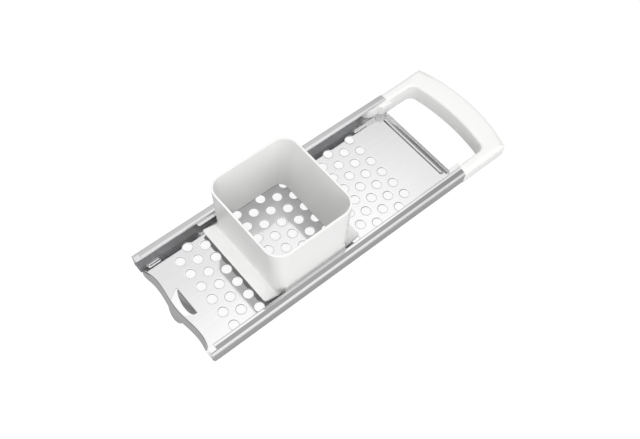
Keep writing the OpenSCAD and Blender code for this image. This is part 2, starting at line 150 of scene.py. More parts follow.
# ------------------------------------------------------------------ mesh helpers
def shift_to_frame(points):
    """Millimetres from the rails' near end, times 0.001, plus the floor's place in the frame."""
    return np.asarray(points, float) * MM + np.array([near_end, 0.0, floor_top])


def grid_faces(rows, cols, wrap_rows=False, wrap_cols=False):
    """Quads between neighbouring rows and columns of a rows x cols array of points."""
    i = np.arange(rows if wrap_rows else rows - 1)
    j = np.arange(cols if wrap_cols else cols - 1)
    i, j = np.meshgrid(i, j, indexing="ij")
    next_i, next_j = (i + 1) % rows, (j + 1) % cols
    corners = [i * cols + j, next_i * cols + j, next_i * cols + next_j, i * cols + next_j]
    return np.stack(corners, axis=-1).reshape(-1, 4)


def sheet_patch(points, **wraps):
    """A grid of points (rows, cols, 3) as a patch: its points and its quads."""
    rows, cols = points.shape[:2]
    return points.reshape(-1, 3), [tuple(f) for f in grid_faces(rows, cols, **wraps).tolist()]


def stack_of_loops(loops):
    """Closed loops (n, m, 3) joined ring to ring, with the first and last filled as caps."""
    loops = np.asarray(loops, float)
    points, faces = sheet_patch(loops, wrap_cols=True)
    n, m = loops.shape[:2]
    faces.append(tuple(range(m))[::-1])
    faces.append(tuple(range((n - 1) * m, n * m)))
    return points, faces


def thick_skin(outer, inner):
    """Two faces of a sheet, joined round their edges into a closed shell."""
    rows, cols = outer.shape[:2]
    patches = [sheet_patch(outer), sheet_patch(inner)]
    for cut in ((slice(None), 0), (slice(None), cols - 1), (0, slice(None)), (rows - 1, slice(None))):
        patches.append(sheet_patch(np.stack([outer[cut], inner[cut]])))
    return patches


def make_piece(name, patches, body, slot, nodes, sharp):
    """Joins patches into one closed mesh, welds it, turns its faces outwards and dresses it.
    Edges that turn by more than sharp degrees stay sharp."""
    points, faces, start = [], [], 0
    for p, f in patches:
        points.append(np.asarray(p, float))
        faces += [tuple(int(v) + start for v in face) for face in f]
        start += len(p)
    mesh = bpy.data.meshes.new(name)
    mesh.from_pydata(shift_to_frame(np.concatenate(points)).tolist(), [], faces)
    work = bmesh.new()
    work.from_mesh(mesh)
    bmesh.ops.remove_doubles(work, verts=work.verts, dist=2e-6)
    bmesh.ops.dissolve_degenerate(work, edges=work.edges, dist=1e-7)
    bmesh.ops.recalc_face_normals(work, faces=work.faces)
    work.to_mesh(mesh)
    work.free()
    mesh.shade_smooth()
    mesh.set_sharp_from_angle(angle=math.radians(sharp))
    piece = bpy.data.objects.new(name, mesh)
    bpy.context.scene.collection.objects.link(piece)
    mesh.materials.append(MATERIALS[slot])
    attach(piece, body)
    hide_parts(*nodes)


def smooth(t):
    """0 below 0, 1 above 1, and 3 t squared minus 2 t cubed between."""
    t = np.clip(t, 0, 1)
    return t * t * (3 - 2 * t)


def arc(cx, cy, r, start, end, n=10):
    """Points of a circle's arc about (cx, cy), from start to end degrees."""
    a = np.radians(np.linspace(start, end, n))
    return np.stack([cx + r * np.cos(a), cy + r * np.sin(a)], axis=1)


def rounded_polygon(corners, radii, n=6):
    """A polygon whose corners are arcs: each arc touches its two sides at r times the
    cotangent of half the corner's angle."""
    corners = np.asarray(corners, float)
    out = []
    for k, r in enumerate(radii):
        p, before, after = corners[k], corners[k - 1], corners[(k + 1) % len(corners)]
        u, v = before - p, after - p
        u, v = u / np.linalg.norm(u), v / np.linalg.norm(v)
        half = math.acos(np.clip(u @ v, -1, 1)) / 2
        reach = r / math.tan(half)
        middle = (u + v) / np.linalg.norm(u + v) * r / math.sin(half) + p
        a, b = p + u * reach - middle, p + v * reach - middle
        t = np.linspace(0, 1, n)[:, None]
        swing = math.acos(np.clip((a @ b) / (r * r), -1, 1))
        out.append(middle + (np.sin((1 - t) * swing) * a + np.sin(t * swing) * b) / math.sin(swing))
    return np.concatenate(out)


def rounded_rect(hx, hy, r, n):
    """A rectangle of half sides hx and hy with corner radius r, anticlockwise."""
    quarters = ((1, 1, 0), (-1, 1, 90), (-1, -1, 180), (1, -1, 270))
    return np.concatenate([arc(sx * (hx - r), sy * (hy - r), r, start, start + 90, n)
                           for sx, sy, start in quarters])


def lift(plan, z):
    """A plan (m, 2) at height z, a number or one height for each point."""
    return np.column_stack([plan, np.broadcast_to(z, len(plan))])


def mirrored(patches):
    """The same patches on the other side of the bed's middle."""
    return [(np.asarray(p) * [1, -1, 1], f) for p, f in patches]


def inside(points, loop):
    """Whether each point lies inside a loop, by counting crossings of a ray along X."""
    a, b = loop, np.roll(loop, -1, axis=0)
    x, y = points[:, :1], points[:, 1:]
    crosses = (a[:, 1] > y) != (b[:, 1] > y)
    with np.errstate(divide="ignore", invalid="ignore"):
        at = a[:, 0] + (y - a[:, 1]) * (b[:, 0] - a[:, 0]) / (b[:, 1] - a[:, 1])
    return (crosses & (x < at)).sum(axis=1) % 2 == 1


# ------------------------------------------------------------------ materials
def hex_colour(text):
    """An sRGB hex colour as linear RGBA."""
    c = np.array([int(text[i:i + 2], 16) for i in (1, 3, 5)]) / 255
    return (*np.where(c <= 0.04045, c / 12.92, ((c + 0.055) / 1.055) ** 2.4).tolist(), 1.0)


def add_node(tree, kind, settings=None, links=None):
    """Adds one node, sets its properties or input values, and links sockets into its inputs."""
    node = tree.nodes.new(kind)
    for key, value in (settings or {}).items():
        if isinstance(key, str) and hasattr(node, key):
            setattr(node, key, value)
        else:
            node.inputs[key].default_value = value
    for key, socket in (links or {}).items():
        tree.links.new(socket, node.inputs[key])
    return node


def new_material(name):
    """A material with its node tree and its shader."""
    mat = bpy.data.materials.new(name)
    mat.use_nodes = True
    return mat, mat.node_tree, mat.node_tree.nodes["Principled BSDF"]


def noise(tree, vector, scale, detail):
    """A noise pattern's value: scale is in cells to the metre on Object coordinates."""
    return add_node(tree, "ShaderNodeTexNoise", {"Scale": scale, "Detail": detail},
                    {"Vector": vector}).outputs["Fac"]


def ramp_value(tree, value, start, end, low, high, curve="LINEAR"):
    """A value carried from the span start..end to low..high, straight or on a smooth step."""
    return add_node(tree, "ShaderNodeMapRange",
                    {"interpolation_type": curve, "From Min": start, "From Max": end,
                     "To Min": low, "To Max": high}, {"Value": value}).outputs["Result"]


def combine(tree, operation, a, b):
    """Two values added or multiplied."""
    return add_node(tree, "ShaderNodeMath", {"operation": operation}, {0: a, 1: b}).outputs[0]


def two_tones(tree, shader, share, hex_a, hex_b):
    """Base colour mixed between two tones by a pattern."""
    mix = add_node(tree, "ShaderNodeMix", {"data_type": "RGBA"}, {"Factor": share})
    for tone, text in ((6, hex_a), (7, hex_b)):
        mix.inputs[tone].default_value = hex_colour(text)
    tree.links.new(mix.outputs[2], shader.inputs["Base Color"])


def add_bump(tree, shader, height, strength, distance):
    """Surface relief from a pattern; distance is in metres."""
    bump = add_node(tree, "ShaderNodeBump", {"Strength": strength, "Distance": distance},
                    {"Height": height})
    tree.links.new(bump.outputs["Normal"], shader.inputs["Normal"])


def bright_rolled_stainless():
    """Bright-rolled stainless sheet: near-mirror, with faint rolling lines along the bed and
    a soft mottle from pressing, which break up what it reflects. The rails' insides and the
    floor towards them are dulled by forming and by the runners, so they look soft and grey."""
    mat, tree, shader = new_material("bright_rolled_stainless")
    shader.inputs["Metallic"].default_value = 1.0
    place = add_node(tree, "ShaderNodeTexCoord").outputs["Object"]
    # Rolling lines are a few hundredths of a millimetre wide; drawn 1.2 mm wide to show.
    stretched = add_node(tree, "ShaderNodeMapping", {"Scale": (12, 800, 800)}, {"Vector": place})
    lines = noise(tree, stretched.outputs["Vector"], 1.0, 4.0)
    two_tones(tree, shader, ramp_value(tree, lines, 0.3, 0.7, 0.0, 1.0), "#d5d5d6", "#d9d9da")
    # Pressing mottle, about 12 mm across.
    mottle = noise(tree, place, 80.0, 3.0)
    polished = ramp_value(tree, mottle, 0.3, 0.7, 0.06, 0.1)
    # Wear begins 41.5 mm from the middle, is full at 47.5 mm, and stays within the rail's
    # outer wall and under its top.
    axes = add_node(tree, "ShaderNodeSeparateXYZ", {}, {"Vector": place})
    aside = add_node(tree, "ShaderNodeMath", {"operation": "ABSOLUTE"}, {0: axes.outputs["Y"]}).outputs[0]
    wall = (HALF_W - SHEET) * MM
    under_top = floor_top + (RAIL_H - SHEET) * MM
    toward_rail = ramp_value(tree, aside, 0.0415, 0.0475, 0.0, 0.26, "SMOOTHSTEP")
    within_wall = ramp_value(tree, aside, wall + 0.0002, wall + 0.0004, 1.0, 0.0, "SMOOTHSTEP")
    below_top = ramp_value(tree, axes.outputs["Z"], under_top, under_top + 0.0003, 1.0, 0.0, "SMOOTHSTEP")
    worn = combine(tree, "MULTIPLY", combine(tree, "MULTIPLY", toward_rail, within_wall), below_top)
    tree.links.new(combine(tree, "ADD", polished, worn), shader.inputs["Roughness"])
    add_bump(tree, shader, mottle, 0.008, 0.0004)
    return mat


def moulded_white(name, hex_a, hex_b, rough_low, rough_high):
    """White moulded polypropylene: a satin skin, very slightly uneven in tone and gloss,
    with the faint orange peel of an injection mould."""
    mat, tree, shader = new_material(name)
    shader.inputs["IOR"].default_value = 1.49
    place = add_node(tree, "ShaderNodeTexCoord").outputs["Object"]
    # Tone and gloss drift over about 30 mm; the mould's skin is about 0.8 mm across.
    drift = noise(tree, place, 33.0, 2.0)
    skin = noise(tree, place, 1250.0, 2.0)
    two_tones(tree, shader, drift, hex_a, hex_b)
    gloss = ramp_value(tree, drift, 0.3, 0.7, rough_low, rough_high)
    tree.links.new(gloss, shader.inputs["Roughness"])
    add_bump(tree, shader, skin, 0.08, 0.0001)
    return mat


MATERIALS = {
    "sheet_steel": bright_rolled_stainless(),
    "handle_plastic": moulded_white("moulded_pp_handle", "#f7f7f6", "#fafaf9", 0.32, 0.42),
    "hopper_plastic": moulded_white("moulded_pp_hopper", "#f6f6f5", "#f9f9f8", 0.30, 0.40),
}


# ------------------------------------------------------------------ the perforated floor
def near_edge(y):
    """The floor's near edge in plan: a cosine wave in the middle, which runs out towards
    the rails as a power of the distance."""
    y = np.abs(y)
    crest = EDGE_WAVE_LEN / 2
    wave = EDGE_MEAN - EDGE_WAVE * np.cos(2 * np.pi * np.minimum(y, crest) / EDGE_WAVE_LEN)
    t = np.clip((y - crest) / (APRON_HALF - crest), 0, 1)
    return wave - RUN_OUT * t ** RUN_OUT_POWER


def hole_centres():
    """Staggered rows: odd ones are shifted to one side and even ones to the other."""
    row, hole = np.meshgrid(np.arange(ROWS), np.arange(HOLES_A_ROW), indexing="ij")
    y = (hole - (HOLES_A_ROW - 1) / 2) * HOLE_PITCH + np.where(row % 2 == 0, -ROW_SHIFT, ROW_SHIFT)
    return np.stack([FIRST_ROW + row * ROW_PITCH, y], axis=-1).reshape(-1, 2)


def hole_profile():
    """Radius and height from the flat ring round a hole down through it: over the rolled
    edge, down the straight wall and out along the underside."""
    flat_r = HOLE_R + HOLE_FLAT
    roll = [[HOLE_R + out, z] for out, z in HOLE_ROLL]
    return np.array([[flat_r, 0], *roll, [HOLE_R, -SHEET], [HOLE_R + 0.5, -SHEET], [flat_r, -SHEET]])


def bead_frame(bead):
    """Spine points and outward directions round a bead, one pair for each loop point."""
    (cx, cy), length, width, _, across = bead
    turn = np.radians(np.concatenate([np.linspace(-90, 90, 13), np.linspace(90, 270, 13)]))
    way = np.stack([np.cos(turn), np.sin(turn)], axis=1)
    spine = np.zeros_like(way)
    spine[:13, 0], spine[13:, 0] = (length - width) / 2, -(length - width) / 2
    if across:
        way, spine = way[:, ::-1] * [-1, 1], spine[:, ::-1] * [-1, 1]
    return spine + [cx, cy], way


def bead_loops(bead, drop):
    """Loops from a bead's outline in to its spine, after one on the flat floor round it: the
    height rises as a half cosine. The bead across the bed leans: its crown lies a little
    nearer, and its far side is a straight slope which a parabola rounds off at the crown."""
    _, _, width, height, across = bead
    spine, way = bead_frame(bead)
    far = float(across) * np.clip(way[:, 0], 0, 1)
    margin = BEAD_MARGIN - (BEAD_MARGIN - TIGHT_MARGIN) * far
    loops = [lift(spine + way * (width / 2 + margin[:, None]), -drop)]
    for s in np.linspace(0, 1, 12):
        t = min(1.0, s * (1.28 if across else 1.12))
        even = (1 - math.cos(math.pi * t)) / 2
        sloped = (t - max(0.0, t - 0.6) ** 2 / 0.8) / 0.8
        plan = spine + way * (width / 2) * (1 - s) - [CROWN_SHIFT * across * s, 0]
        loops.append(lift(plan, height * (even * (1 - far) + sloped * far) - drop))
    return np.array(loops)


def window_outline():
    """The hook's window: narrow by the apron, where it follows the bend's edge, and wide at
    the hook's fold."""
    near_x = 4.2
    corners = [[near_x, -WINDOW_NEAR_HALF], [WINDOW_END, -WINDOW_FAR_HALF],
               [WINDOW_END, WINDOW_FAR_HALF], [near_x, WINDOW_NEAR_HALF]]
    near_y = np.linspace(WINDOW_NEAR_HALF - 0.5, 0.5 - WINDOW_NEAR_HALF, 13)
    loop = np.concatenate([rounded_polygon(corners, [0.3, 1.2, 1.2, 0.3]),
                           np.stack([np.zeros(13), near_y], axis=1)])
    loop[:, 0] = np.maximum(loop[:, 0], near_edge(loop[:, 1]) + BEND_R + 0.05)
    return loop


def floor_outline():
    """The flat floor's edge: from fold to fold, along the apron's bend and round the lip."""
    y = np.linspace(-APRON_HALF, APRON_HALF, 121)
    edge = np.stack([near_edge(y) + BEND_R, y], axis=1)
    beside, near_x = 0.02, 0.3
    left_half = [[near_x, APRON_HALF + beside], [near_x, FOLD_Y], [FLOOR_END, FOLD_Y],
                 [FLOOR_END, LIP_HALF + beside], [LIP_START, LIP_HALF]]
    right_half = (np.array(left_half) * [1, -1])[::-1]
    return np.concatenate([right_half[-2:], edge, left_half, right_half[:-2]])


def perforated_floor():
    """A flat face with openings, by constrained triangulation, stitched at each opening to
    a wall or a bead, and the same below."""
    turn = np.linspace(0, 2 * np.pi, 49)[:-1]
    ring = np.stack([np.cos(turn), np.sin(turn)], axis=1)
    centres, profile = hole_centres(), hole_profile()
    mouth = profile[0, 0]
    outline, window = floor_outline(), window_outline()
    bead_edges = [bead_loops(b, 0)[0][:, :2] for b in BEADS]
    loops = [outline, window] + [c + ring * mouth for c in centres] + bead_edges
    edges, start = [], 0
    for loop in loops:
        n = len(loop)
        edges += [(start + i, start + (i + 1) % n) for i in range(n)]
        start += n
    flat = [Vector(p) for p in np.concatenate(loops)]
    verts, _, tris, *_ = delaunay_2d_cdt(flat, edges, [], 1, 1e-5)
    verts, tris = np.array([tuple(v) for v in verts]), np.array(tris)
    middle = verts[tris].mean(axis=1)
    keep = np.linalg.norm(middle[:, None] - centres[None], axis=2).min(axis=1) > mouth * 0.999
    for loop in [window] + bead_edges:
        keep &= ~inside(middle, loop)
    tris = tris[keep & inside(middle, outline)]
    patches = [(lift(verts, 0.0), [tuple(t) for t in tris.tolist()]),
               (lift(verts, -SHEET), [tuple(t[::-1]) for t in tris.tolist()])]
    for c in centres:
        rings = np.array([lift(c + ring * r, z) for r, z in profile])
        patches.append(sheet_patch(rings, wrap_cols=True))
    for bead in BEADS:
        patches += [sheet_patch(bead_loops(bead, drop), wrap_cols=True) for drop in (0, SHEET)]
    for loop in (outline, window):
        patches.append(sheet_patch(np.array([lift(loop, 0), lift(loop, -SHEET)]), wrap_cols=True))
    return patches


make_piece("perforated_floor", perforated_floor(), "bed", "sheet_steel", ["grater_plate"], 40)


# ------------------------------------------------------------------ rails
def rail_profile(hem):
    """The rail's cross-section as one closed loop of (y, z): fold, wall, rounded corner, top,
    and where hem is 1 the sheet rolled back on itself along the inner edge. The rolled-back
    part has a flat crown and slopes down by 12.5 degrees until it touches the corner."""
    wall_top, under = RAIL_H - RAIL_R, RAIL_H - SHEET
    slope = np.array([[4.6, 0.121], [3.7, 0.321], [3.0, 0.476], [2.6, 0.565], [2.35, 0.59],
                      [2.1, HEM_RISE], [1.8, HEM_RISE], [1.4, HEM_RISE]]) * [1, hem] + [RAIL_IN, RAIL_H]
    crown = arc(RAIL_IN + 0.62, RAIL_H + HEM_RISE - CROWN_R, CROWN_R, 90, 180, 7)
    roll = np.concatenate([crown, arc(RAIL_IN, RAIL_H - SHEET / 2, SHEET / 2, 200, 270, 3)])
    flat_end = np.stack([np.full(10, RAIL_IN), np.linspace(RAIL_H, under, 10)], axis=1)
    return np.concatenate([
        arc(FOLD_Y, FOLD_R - SHEET, FOLD_R, -90, 0, 7),
        arc(HALF_W - RAIL_R, wall_top, RAIL_R, 0, CORNER_TURN, 13),
        slope,
        roll if hem else flat_end,
        arc(HALF_W - RAIL_R, wall_top, RAIL_R - SHEET, 90, 0, 13),
        arc(FOLD_Y, FOLD_R - SHEET, FOLD_R - SHEET, 0, -90, 7)])


def rail():
    """The cross-section carried along X. The near end leans back a little, and the wall's
    lower corner at the handle end is rounded."""
    hem_full = HEM_START + 0.02
    loops = []
    for x in (0.0, HEM_START, hem_full, 90.0, 180.0, 246.0, BED_LEN):
        yz = rail_profile(int(x >= hem_full))
        along = np.full(len(yz), x)
        if x == 0:
            along += np.clip((RAIL_H - yz[:, 1]) / RAIL_H, 0, 1) * NEAR_LEAN
        if x == BED_LEN:
            low = np.clip(FAR_ROUND - SHEET - yz[:, 1], 0, FAR_ROUND)
            along -= FAR_ROUND - np.sqrt(FAR_ROUND ** 2 - low * low)
        loops.append(np.column_stack([along, yz]))
    return [stack_of_loops(loops)]


make_piece("rail_left", rail(), "bed", "sheet_steel", ["left_rail"], 30)
make_piece("rail_right", mirrored(rail()), "bed", "sheet_steel", ["right_rail"], 30)


# ------------------------------------------------------------------ apron, hook and lip
def bent_down(start_x, y, radius, turn, length):
    """A sheet's face from its flat edge at start_x round a bend of radius and turn, and
    straight on for a length. Returns (columns, 17, 3)."""
    a = np.radians(np.linspace(0, turn, 11))
    straight = length[:, None] * np.linspace(0, 1, 7)[1:]
    bend_x = np.broadcast_to(-radius * np.sin(a), (len(y), 11))
    bend_z = np.broadcast_to(radius * np.cos(a), (len(y), 11)) - BEND_R
    x = start_x[:, None] + np.concatenate([bend_x, bend_x[:, -1:] - straight * math.cos(a[-1])], axis=1)
    z = np.concatenate([bend_z, bend_z[:, -1:] - straight * math.sin(a[-1])], axis=1)
    return np.stack([x, np.broadcast_to(y[:, None], x.shape), z], axis=2)


def apron():
    """The near edge turned down: its depth is that of a strip with rounded lower corners,
    blended by a smooth maximum with the circle of the tongue."""
    corner_y = APRON_HALF - APRON_CORNER * (1 - np.cos(np.linspace(0, np.pi / 2, 11)))
    y = np.unique(np.concatenate([np.linspace(-APRON_HALF, APRON_HALF, 101), corner_y, -corner_y]))
    out = np.clip(np.abs(y) - (APRON_HALF - APRON_CORNER), 0, APRON_CORNER)
    strip = APRON_DEPTH - APRON_CORNER + np.sqrt(APRON_CORNER ** 2 - out ** 2)
    circle = TONGUE_DEPTH - TONGUE_R + np.sqrt(np.maximum(TONGUE_R ** 2 - y ** 2, 0.0))
    circle = np.where(np.abs(y) < TONGUE_R, circle, -20)
    depth = np.logaddexp(strip / TONGUE_BLEND, circle / TONGUE_BLEND) * TONGUE_BLEND
    depth = np.where(np.abs(y) < TONGUE_REACH, np.minimum(depth, TONGUE_DEPTH), strip)
    turn = 90 - APRON_LEAN
    length = np.maximum(depth - BEND_R * math.tan(math.radians(turn / 2)), 0.05)
    start = near_edge(y) + BEND_R
    return thick_skin(bent_down(start, y, BEND_R, turn, length),
                      bent_down(start, y, BEND_R - SHEET, turn, length))


def hook():
    """The tab bent down from the window: the blade narrows to its tip as a circle's arc."""
    s = HOOK_REACH * np.sin(np.linspace(0, np.pi / 2, 12))
    wide = np.sqrt(np.maximum(HOOK_HALF ** 2 - (s + HOOK_HALF - HOOK_REACH) ** 2, 0))
    end = math.radians(HOOK_TURN)
    a = np.linspace(0, end, 9)[:-1]
    across = np.concatenate([np.full(8, wide[0]), wide])[:, None] * np.linspace(-1, 1, 25)
    faces = []
    for r in (HOOK_R, HOOK_R - SHEET):
        x = WINDOW_END - np.concatenate([r * np.sin(a), r * math.sin(end) + s * math.cos(end)])
        z = np.concatenate([r * np.cos(a), r * math.cos(end) - s * math.sin(end)]) - HOOK_R
        faces.append(np.stack([np.broadcast_to(x[:, None], across.shape), across,
                               np.broadcast_to(z[:, None], across.shape)], axis=2))
    return thick_skin(*faces)


def lip():
    """The floor's far edge: it slopes down, rounds a fold and ends upright. The fold's middle
    lies a radius inside both, so its height is minus the radius over the slope's cosine, minus
    the run to it times the slope's tangent. The section is carried across the bed."""
    slope = math.radians(LIP_SLOPE)
    fold_x = LIP_END - LIP_R
    fold_z = -(fold_x - LIP_START) * math.tan(slope) - LIP_R / math.cos(slope)
    xz = np.concatenate([[[LIP_START, 0.0]],
                         arc(fold_x, fold_z, LIP_R, 90 - LIP_SLOPE, 0, 13),
                         [[LIP_END, -LIP_DEPTH], [LIP_END - SHEET, -LIP_DEPTH]],
                         arc(fold_x, fold_z, LIP_R - SHEET, 0, 90 - LIP_SLOPE, 13),
                         [[LIP_START, -SHEET]]])
    return [stack_of_loops([np.column_stack([xz[:, 0], np.full(len(xz), y), xz[:, 1]])
                            for y in (-LIP_HALF, 0, LIP_HALF)])]


make_piece("pot_apron", apron(), "bed", "sheet_steel", ["front_apron"], 40)
make_piece("pot_hook", hook(), "bed", "sheet_steel", ["rim_hook"], 40)
make_piece("handle_end_lip", lip(), "bed", "sheet_steel", ["rear_lip"], 40)


# ------------------------------------------------------------------ handle
def bow_edge(side, centre, radius, corner, split_x, split_deg):
    """Half of one edge of the bow in plan, from the rail to the tip: along the arm, round the
    corner and along the arc. The splits give every edge the same count of points in each part."""
    corner_x = centre + math.sqrt((radius - corner) ** 2 - (side - corner) ** 2)
    turn = math.degrees(math.asin((side - corner) / (radius - corner)))
    arm_x = np.concatenate([np.linspace(BED_LEN + ARM_GAP, split_x, 7)[:-1],
                            np.linspace(split_x, corner_x, 9)[:-1]])
    return np.concatenate([lift(arm_x[:, None], side),
                           arc(corner_x, side - corner, corner, 90, turn, 10)[:-1],
                           arc(centre, 0, radius, turn, split_deg, 16)[:-1],
                           arc(centre, 0, radius, split_deg, 0, 22)])


def bow_handle():
    """The bow's plan drawn in from its outer edge and from its inner edge by steps, each step at
    its own height. The top's outer edge is a circle's arc, wider along the arms. From each
    corner a crease runs beside the outer edge and fades: a thin level strip lies lower, and the
    face inside it rises from it as a parabola."""
    a = np.radians(np.linspace(0, 90, 9))
    low_in, low_z = LOW_ROUND * (1 - np.sin(a)), HANDLE_LOW + LOW_ROUND * (1 - np.cos(a))
    top_in = np.array([0, 0.06, 0.2, 0.45, 0.8, 1.2, 1.6, 1.9, 2.15, 2.4, 2.8, 3.3, 4.2, 5.2, 6.4])
    outers = [bow_edge(HALF_W - u, BOW_TIP - BOW_R, BOW_R - u, max(BOW_CORNER - u, 0.25), *OUTER_SPLIT)
              for u in np.concatenate([low_in, top_in])]
    a = np.radians(np.linspace(0, 90, 6))
    ease_in, ease_z = INNER_ROUND * (1 - np.cos(a)), INNER_ROUND * (1 - np.sin(a))
    inner_centre = BOW_TIP - BOW_DEPTH - BOW_IN_R
    inners = [bow_edge(ARM_IN + v, inner_centre, BOW_IN_R + v, BOW_IN_CORNER + v, *INNER_SPLIT)
              for v in np.concatenate([ease_in[::-1], ease_in])]
    inner_z = np.concatenate([HANDLE_TOP - ease_z[::-1], HANDLE_LOW + ease_z])
    plan = np.array(outers + inners)                      # (section, station, 2)
    edge = plan[len(low_in)]                              # the outer edge itself
    along = np.concatenate([[0], np.cumsum(np.linalg.norm(np.diff(edge, axis=0), axis=1))])
    past_corner = along - along[np.argmax(edge @ [0.6, 0.8])]
    crease = np.where(past_corner > 0, smooth(1 - past_corner / CREASE_LEN),
                      smooth(1 + past_corner / CREASE_ONSET))
    round_w = TOP_ROUND + ARM_EXTRA * smooth((-4 - past_corner) / ARM_BLEND)
    depth_in = top_in[:, None]
    round_z = HANDLE_TOP - round_w + np.sqrt(round_w ** 2 - np.maximum(round_w - depth_in, 0) ** 2)
    sunk = CREASE_SUNK * (1 - np.clip((depth_in - CREASE_IN) / CREASE_RISE, 0, 1)) ** 2
    strip_z = HANDLE_TOP - 1.0 + np.sqrt(1.0 - np.maximum(1.0 - depth_in, 0) ** 2) - sunk
    stations = plan.shape[1]
    z = np.concatenate([np.repeat(low_z[:, None], stations, 1), round_z * (1 - crease) + strip_z * crease,
                        np.repeat(inner_z[:, None], stations, 1)])
    half = np.concatenate([plan, z[..., None]], axis=2).transpose(1, 0, 2)
    start = half[:1].mean(axis=1, keepdims=True)
    nose = start + (half[:1] - start) * 0.93 - [0.6, 0, 0]
    half = np.concatenate([nose, half])
    return stack_of_loops(np.concatenate([half, half[-2::-1] * [1, -1, 1]]))


def plug():
    """A tongue inside the rail: its plan with a round nose and a wide root, its edges eased."""
    plan = rounded_polygon([[PLUG_TIP, PLUG_IN], [PLUG_STEP, PLUG_IN], [PLUG_ROOT, PLUG_ROOT_IN],
                            [PLUG_END, PLUG_ROOT_IN], [PLUG_END, PLUG_OUT], [PLUG_TIP, PLUG_OUT]],
                           [6.5, 0.8, 2.0, 0.5, 0.5, 1.8], 10)
    middle = plan.mean(axis=0)
    reach = np.abs(plan - middle).max(axis=0)
    steps = ((0.5, PLUG_LOW), (0.0, PLUG_LOW + 0.5), (0.0, PLUG_TOP - 0.7),
             (0.15, PLUG_TOP - 0.3), (0.6, PLUG_TOP))
    return [stack_of_loops([lift(middle + (plan - middle) * (1 - cut / reach), z) for cut, z in steps])]


make_piece("bow_handle", [bow_handle()] + plug() + mirrored(plug()), "bed", "handle_plastic", ["handle"], 50)


# ------------------------------------------------------------------ hopper
def hopper_size(z):
    """Half length, half width and corner radius of the hopper's outside at height z, which
    change evenly from foot to rim."""
    share = np.asarray(z)[..., None] / HOPPER_H
    return np.moveaxis(HOPPER_FOOT + (HOPPER_RIM - HOPPER_FOOT) * share, -1, 0)


def hopper_wall():
    """Rounded rectangles that grow from foot to rim, carried up the outside, over the flat
    rim with its two small edge radii and down the inside."""
    rise = np.linspace(FOOT_Z + FOOT_EASE, HOPPER_H - 1.6, 9)
    a = np.linspace(0, np.pi / 2, 6)
    steep, level = RIM_EASE * (1 - np.cos(a)), RIM_EASE * (1 - np.sin(a))
    cuts = np.concatenate([[FOOT_EASE], np.zeros(9), steep, WALL - level, np.full(10, WALL)])
    heights = np.concatenate([[FOOT_Z], rise, HOPPER_H - level, HOPPER_H - steep, rise[::-1], [FOOT_Z]])
    loops = []
    for cut, z in zip(cuts, heights):
        hx, hy, r = hopper_size(z) - cut
        loops.append(lift(rounded_rect(hx, hy, r, 14) + [HOPPER_X, 0], z))
    return sheet_patch(np.array(loops), wrap_rows=True, wrap_cols=True)


def wall_x(y, z):
    """Where the hopper's outer face lies at y and height z: straight, then the corner's arc."""
    hx, hy, r = hopper_size(z)
    return hx - r + np.sqrt(r * r - np.clip(np.abs(y) - (hy - r), 0, r) ** 2)


def ramp(sign):
    """A sloping plate from the hopper's foot out and up. Its section starts inside the wall,
    comes down a concave blend (a parabola between wall and plate) and runs up the slope."""
    side = RAMP_HALF - np.concatenate([np.linspace(9, 1, 9), [0.5, 0.15, 0]])
    y = np.concatenate([-side[::-1], np.linspace(-side[0], side[0], 25)[1:-1], side])
    ease = 0.5 * smooth((np.abs(y) - RAMP_HALF + 0.5) / 0.5) ** 2
    corner = np.clip(np.abs(y) - RAMP_HALF + RAMP_CORNER, 0, RAMP_CORNER)
    end = RAMP_TIP - RAMP_CORNER + np.sqrt(RAMP_CORNER ** 2 - corner ** 2)
    foot_x = wall_x(y, RAMP_START_Z)
    foot_z = RAMP_START_Z + (foot_x - RAMP_START) * RAMP_SLOPE
    high_z = foot_z + RAMP_BLEND
    high_x = wall_x(y, high_z) - 0.15
    low_x = np.minimum(foot_x + RAMP_BLEND, end - 1)
    low_z = foot_z + (low_x - foot_x) * RAMP_SLOPE
    t = np.linspace(0, 1, 9)[:, None]
    bend_x = (1 - t) ** 2 * high_x + 2 * t * (1 - t) * foot_x + t * t * low_x
    bend_z = (1 - t) ** 2 * high_z + 2 * t * (1 - t) * foot_z + t * t * low_z
    tip_z = foot_z + (end - foot_x) * RAMP_SLOPE
    x = np.array([foot_x - 0.9, *bend_x, end - 0.5, end - 0.15, end, end, end - 0.5, foot_x - 0.9])
    top = np.array([high_z, *bend_z, tip_z - 0.5 * RAMP_SLOPE, tip_z - 0.15, tip_z - 0.5])
    under = np.array([tip_z - 1.6, tip_z - 2.0, foot_z - RAMP_THICK])
    z = np.maximum(np.concatenate([top - ease, under + ease]), FOOT_Z)
    points, faces = stack_of_loops(np.stack([x, np.broadcast_to(y, z.shape), z], axis=2).transpose(1, 0, 2))
    return points * [sign, 1, 1] + [HOPPER_X, 0, 0], faces


def runner():
    """A bar inside the rail with eased edges, and the web that carries it, which leaves the
    wall on a concave fillet."""
    half, middle = (RUNNER_OUT - RUNNER_IN) / 2, (RUNNER_OUT + RUNNER_IN) / 2
    steps = ((RUNNER_EASE, RUNNER_LOW), (0, RUNNER_LOW + RUNNER_EASE), (0, RUNNER_TOP - RUNNER_EASE),
             (0.15, RUNNER_TOP - 0.15), (RUNNER_EASE, RUNNER_TOP))
    bar = stack_of_loops([lift(rounded_rect(RUNNER_HALF - cut, half - cut, RUNNER_R - cut, 5)
                               + [HOPPER_X, middle], z) for cut, z in steps])
    section = np.array([[WEB_IN + 0.3, WEB_TOP], *WEB_FILLET, [WEB_OUT, RUNNER_LOW],
                        [WEB_IN, RUNNER_LOW], [WEB_IN, WEB_TOP]])
    web = stack_of_loops([np.column_stack([np.full(len(section), HOPPER_X + x), section])
                          for x in np.linspace(-WEB_HALF, WEB_HALF, 5)])
    return [bar, web]


